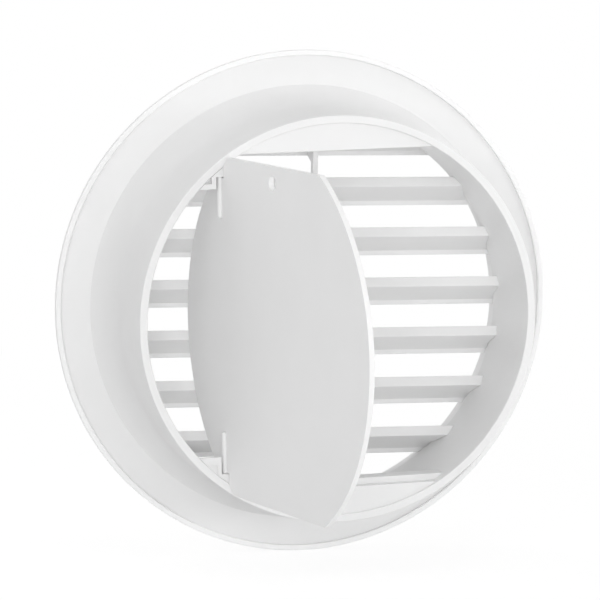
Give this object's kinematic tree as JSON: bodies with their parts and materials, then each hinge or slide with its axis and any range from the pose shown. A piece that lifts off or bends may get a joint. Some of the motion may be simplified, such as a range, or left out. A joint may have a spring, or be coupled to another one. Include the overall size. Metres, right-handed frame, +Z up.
{
  "type": "recessed air vent",
  "caption": "Round recessed air vent: a bezel with fixed louvre blades, a flanged collar with a duct spigot, and a back-draught flap that swings on two pins",
  "frame": {"origin": "on the duct axis, in the plane of the bezel's rim that seats on the wall", "axes": "Y along the duct axis, with +Y to the room side where the louvre opens and -Y to the duct side where the spigot and the flap are; +Z up, square to the blades; +X to the right as seen from the duct side"},
  "size_m": [0.125, 0.1097, 0.125],
  "materials": {
    "grille_plastic": "white injection-moulded ABS, satin as moulded",
    "collar_plastic": "white injection-moulded ABS, satin as moulded",
    "flap_plastic": "white injection-moulded ABS sheet part, satin as moulded"
  },
  "bodies": {
    "housing": {"bezel": "grille_plastic", "top_edge_blade": "grille_plastic", "louvre_blade_1": "grille_plastic", "louvre_blade_2": "grille_plastic", "louvre_blade_3": "grille_plastic", "louvre_blade_4": "grille_plastic", "louvre_blade_5": "grille_plastic", "louvre_blade_6": "grille_plastic", "bottom_edge_blade": "grille_plastic", "mullion": "grille_plastic", "collar": "collar_plastic", "upper_web": "collar_plastic", "lower_web": "collar_plastic", "upper_bearing_bracket": "collar_plastic", "lower_bearing_bracket": "collar_plastic"},
    "flap": {"flap": "flap_plastic", "upper_hinge_pin": "flap_plastic", "lower_hinge_pin": "flap_plastic"}
  },
  "joints": [
    {"name": "flap_hinge", "type": "hinge", "parent": "housing", "child": "flap", "pos_m": [-0.02813, -0.03185, -0.00108], "axis": [0.0384, 0, -0.9993], "range_deg": [-78, 12]}
  ]
}
